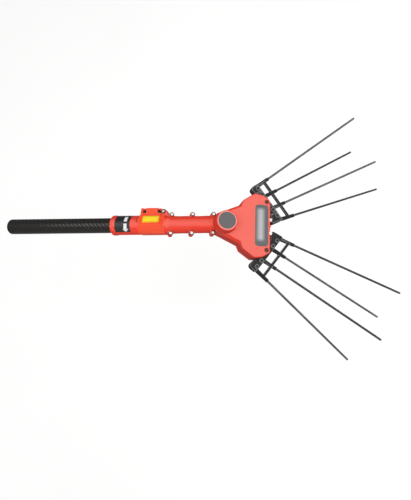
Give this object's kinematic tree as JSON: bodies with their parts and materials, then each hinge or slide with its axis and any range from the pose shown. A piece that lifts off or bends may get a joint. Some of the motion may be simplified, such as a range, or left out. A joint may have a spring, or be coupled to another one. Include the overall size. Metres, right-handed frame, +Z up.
{
  "type": "olive harvester head",
  "caption": "Pole-mounted olive harvester head: a geared motor and crank in a pitched two-part housing beat a pair of comb-like arms with long slim rods that shake fruit from twigs.",
  "frame": {"origin": "middle of the pole's free end", "axes": "+X along the pole towards the combs, +Z up, away from the side with the nuts, +Y to the side with the clamp's lug"},
  "size_m": [0.8558, 0.5862, 0.2323],
  "materials": {
    "carbon_twill": "lacquered twill weave",
    "red_nylon": "fine moulded grain, satin",
    "orange_nylon": "fine moulded grain, satin",
    "black_nylon": "moulded, satin",
    "carbon_rod_light": "drawn along its length",
    "carbon_rod_dark": "drawn along its length",
    "grey_plate": "smooth",
    "zinc_steel": "zinc plated",
    "black_steel": "black oxide",
    "bearing_steel": "ground",
    "gear_steel": "oiled",
    "motor_steel": "plain",
    "cast_alloy": "as cast",
    "bronze": "turned",
    "copper_wire": "enamelled",
    "rubber": "matt"
  },
  "bodies": {
    "housing": {"pole_tube": "carbon_twill", "pole_collar": "red_nylon", "clamp_block": "orange_nylon", "clamp_screws": "black_steel", "clamp_nuts": "zinc_steel", "upper_shell": "red_nylon", "lower_shell": "red_nylon", "shell_screws": "zinc_steel", "badge_disc": "grey_plate", "name_plate": "grey_plate", "pivot_bolts": "black_steel", "pivot_nuts": "zinc_steel", "pivot_sleeves": "bronze", "motor_can": "motor_steel", "motor_plate": "cast_alloy", "motor_bearings": "bearing_steel", "stator_core": "motor_steel", "stator_coils": "copper_wire", "lead_grommet": "rubber", "upper_crank_bearing": "bearing_steel", "lower_crank_bearing": "bearing_steel"},
    "rotor": {"rotor_core": "motor_steel", "motor_shaft": "bearing_steel", "drive_pinion": "gear_steel"},
    "crank": {"crankshaft": "gear_steel", "crank_gear": "gear_steel", "crank_spacer": "bronze"},
    "upper_con_rod": {"upper_con_rod": "cast_alloy"},
    "lower_con_rod": {"lower_con_rod": "cast_alloy"},
    "upper_comb": {"upper_comb_frame": "black_nylon", "upper_comb_cover": "black_nylon", "upper_comb_screws": "black_steel", "upper_comb_nuts": "zinc_steel", "upper_tail_pin": "bearing_steel", "upper_rod_1": "carbon_rod_light", "upper_rod_2": "carbon_rod_dark", "upper_rod_3": "carbon_rod_light", "upper_rod_4": "carbon_rod_dark"},
    "lower_comb": {"lower_comb_frame": "black_nylon", "lower_comb_cover": "black_nylon", "lower_comb_screws": "black_steel", "lower_comb_nuts": "zinc_steel", "lower_tail_pin": "bearing_steel", "lower_rod_1": "carbon_rod_light", "lower_rod_2": "carbon_rod_dark", "lower_rod_3": "carbon_rod_light", "lower_rod_4": "carbon_rod_dark"}
  },
  "joints": [
    {"name": "crank_spin", "type": "hinge", "parent": "housing", "child": "crank", "pos_m": [0.4575, 0, 0], "axis": [0.3762, 0, 0.9265], "continuous": true},
    {"name": "rotor_spin", "type": "hinge", "parent": "housing", "child": "rotor", "pos_m": [0.4575, 0, 0], "axis": [1, 0, 0], "continuous": true},
    {"name": "upper_con_rod_pivot", "type": "hinge", "parent": "crank", "child": "upper_con_rod", "pos_m": [0.45583, 0, 0.00068], "axis": [0.3762, 0, 0.9265], "continuous": true},
    {"name": "lower_con_rod_pivot", "type": "hinge", "parent": "crank", "child": "lower_con_rod", "pos_m": [0.45583, 0, 0.00068], "axis": [0.3762, 0, 0.9265], "continuous": true},
    {"name": "upper_comb_swing", "type": "hinge", "parent": "housing", "child": "upper_comb", "pos_m": [0.53873, 0.05335, -0.0373], "axis": [0.3762, 0, 0.9265], "range_deg": [0, 7]},
    {"name": "lower_comb_swing", "type": "hinge", "parent": "housing", "child": "lower_comb", "pos_m": [0.53873, -0.05335, -0.0373], "axis": [0.3762, 0, 0.9265], "range_deg": [-7, 0]}
  ],
  "couplings": [
    {"joint": "rotor_spin", "follows": "crank_spin", "ratio": -2.5},
    {"joint": "upper_con_rod_pivot", "follows": "crank_spin", "ratio": -1},
    {"joint": "lower_con_rod_pivot", "follows": "crank_spin", "ratio": -1},
    {"joint": "lower_comb_swing", "follows": "upper_comb_swing", "ratio": -1}
  ]
}
